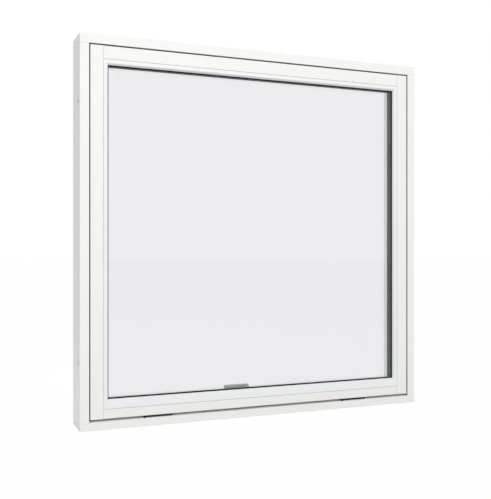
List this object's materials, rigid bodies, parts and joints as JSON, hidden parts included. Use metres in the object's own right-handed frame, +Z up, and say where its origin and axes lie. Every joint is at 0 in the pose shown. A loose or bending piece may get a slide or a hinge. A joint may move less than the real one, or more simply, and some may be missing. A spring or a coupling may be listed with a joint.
{
  "type": "crank-operated outward-opening window",
  "caption": "White timber window with a fixed frame and a triple-glazed sash that swings out at the bottom on sliding side stays, worked by a crank operator on the sill.",
  "frame": {"origin": "middle of the sill's underside, half way between the frame's outer and room faces", "axes": "+X to the right seen from outside, +Y towards the room, +Z up"},
  "size_m": [1.18, 0.1784, 1.19],
  "materials": {
    "painted_timber": "white opaque paint, satin",
    "painted_bead": "white powder coat, satin",
    "gasket_rubber": "black EPDM",
    "seal_rubber": "dark EPDM",
    "clear_glass": "clear float, low-e",
    "spacer_bar": "grey warm-edge, satin",
    "edge_sealant": "polysulphide",
    "black_plastic": "moulded black",
    "zinc_steel": "zinc plated",
    "aluminium_profile": "anodised",
    "nylon": "natural nylon",
    "operator_grey": "grey powder coat",
    "knob_plastic": "grey moulded"
  },
  "bodies": {
    "frame": {"arm_clips": "zinc_steel", "fixing_sleeves": "zinc_steel", "frame_head": "painted_timber", "frame_jamb_left": "painted_timber", "frame_jamb_right": "painted_timber", "frame_screws": "zinc_steel", "frame_sill": "painted_timber", "operator_base": "operator_grey", "operator_base_screws": "zinc_steel", "operator_cover": "operator_grey", "operator_cover_screws": "zinc_steel", "run_up_blocks": "black_plastic", "stay_track_left": "zinc_steel", "stay_track_right": "zinc_steel", "stay_track_screws": "zinc_steel", "weather_seal": "seal_rubber"},
    "sash": {"arm_track_left": "aluminium_profile", "arm_track_right": "aluminium_profile", "arm_track_screws": "zinc_steel", "bead_bottom": "painted_bead", "bead_left": "painted_bead", "bead_right": "painted_bead", "bead_top": "painted_bead", "edge_sealant": "edge_sealant", "glass_inner": "clear_glass", "glass_middle": "clear_glass", "glass_outer": "clear_glass", "glazing_gasket": "gasket_rubber", "glazing_tape": "gasket_rubber", "sash_bar_left": "zinc_steel", "sash_bar_right": "zinc_steel", "sash_bar_screws": "zinc_steel", "sash_bottom_rail": "painted_timber", "sash_stile_left": "painted_timber", "sash_stile_right": "painted_timber", "sash_top_rail": "painted_timber", "setting_blocks": "black_plastic", "spacer_inner": "spacer_bar", "spacer_outer": "spacer_bar"},
    "stay_left": {"stay_link_left": "zinc_steel"},
    "stay_right": {"stay_link_right": "zinc_steel"},
    "shoe_left": {"stay_shoe_left": "nylon"},
    "shoe_right": {"stay_shoe_right": "nylon"},
    "arm_left": {"operator_arm_left": "zinc_steel", "arm_button_left": "nylon"},
    "arm_right": {"operator_arm_right": "zinc_steel", "arm_button_right": "nylon"},
    "crank": {"worm_shaft": "zinc_steel", "crank_arm": "operator_grey", "crank_screw": "zinc_steel", "knob_pin": "zinc_steel"},
    "knob": {"crank_knob": "knob_plastic"}
  },
  "joints": [
    {"name": "stay_left_pivot", "type": "hinge", "parent": "frame", "child": "stay_left", "pos_m": [-0.5537, -0.002, 0.5945], "axis": [1, 0, 0], "range_deg": [0, 10.5]},
    {"name": "sash_swing", "type": "hinge", "parent": "stay_left", "child": "sash", "pos_m": [-0.5537, -0.002, 0.8705], "axis": [1, 0, 0], "range_deg": [-21.01, 0]},
    {"name": "shoe_left_pivot", "type": "hinge", "parent": "sash", "child": "shoe_left", "pos_m": [-0.5585, -0.002, 1.1465], "axis": [1, 0, 0], "range_deg": [0, 10.51]},
    {"name": "shoe_right_pivot", "type": "hinge", "parent": "sash", "child": "shoe_right", "pos_m": [0.5585, -0.002, 1.1465], "axis": [1, 0, 0], "range_deg": [0, 10.51]},
    {"name": "stay_right_pivot", "type": "hinge", "parent": "frame", "child": "stay_right", "pos_m": [0.5537, -0.002, 0.5945], "axis": [1, 0, 0], "range_deg": [0, 10.51]},
    {"name": "arm_left_pivot", "type": "hinge", "parent": "frame", "child": "arm_left", "pos_m": [-0.033, 0.044, 0.0575], "axis": [0, 0, 1], "range_deg": [0, 33]},
    {"name": "arm_right_pivot", "type": "hinge", "parent": "frame", "child": "arm_right", "pos_m": [0.033, 0.044, 0.0575], "axis": [0, 0, 1], "range_deg": [-33, 0]},
    {"name": "crank_spin", "type": "hinge", "parent": "frame", "child": "crank", "pos_m": [0, 0.08572, 0.07436], "axis": [0, 0.9272, 0.3746], "range_deg": [0, 1645]},
    {"name": "knob_spin", "type": "hinge", "parent": "crank", "child": "knob", "pos_m": [-0.064, 0.1045, 0.06792], "axis": [0, 0.9272, 0.3746], "continuous": true}
  ],
  "couplings": [
    {"joint": "sash_swing", "follows": "stay_left_pivot", "ratio": -2},
    {"joint": "shoe_left_pivot", "follows": "stay_left_pivot", "ratio": 1},
    {"joint": "shoe_right_pivot", "follows": "stay_left_pivot", "ratio": 1},
    {"joint": "stay_right_pivot", "follows": "stay_left_pivot", "ratio": 1},
    {"joint": "arm_left_pivot", "follows": "stay_left_pivot", "ratio": 3.13},
    {"joint": "arm_right_pivot", "follows": "stay_left_pivot", "ratio": -3.13},
    {"joint": "crank_spin", "follows": "stay_left_pivot", "ratio": 156.5}
  ]
}
